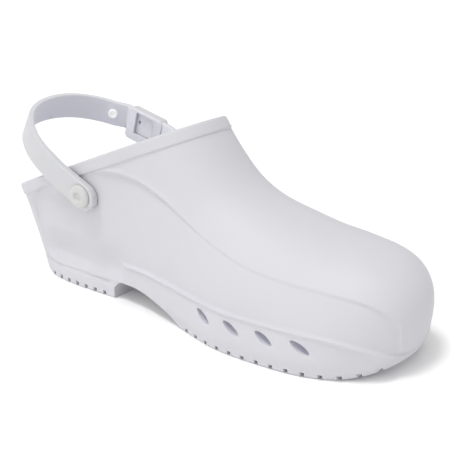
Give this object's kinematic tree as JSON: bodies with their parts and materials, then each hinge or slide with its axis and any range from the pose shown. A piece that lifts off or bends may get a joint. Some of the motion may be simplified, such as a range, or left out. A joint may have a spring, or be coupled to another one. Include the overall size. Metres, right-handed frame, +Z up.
{
  "type": "clog",
  "caption": "Right moulded clog with a closed round toe, a raised heel, vents along the side of the sole and a pinned heel strap.",
  "frame": {"origin": "on the floor, under the middle of the shoe's length and width", "axes": "+X towards the toe, +Y towards the inner (big toe) side, +Z up from the sole"},
  "size_m": [0.2779, 0.1011, 0.1087],
  "materials": {
    "body": "matt white moulded elastomer",
    "insole": "matt white foam",
    "strap": "smooth satin white elastomer",
    "pin": "slightly translucent off-white"
  },
  "bodies": {
    "root": {"clog_body": "body", "insole": "insole", "heel_strap": "strap", "strap_sleeve": "strap", "pin_outer": "pin", "pin_inner": "pin", "strap_stud": "pin"}
  },
  "joints": []
}
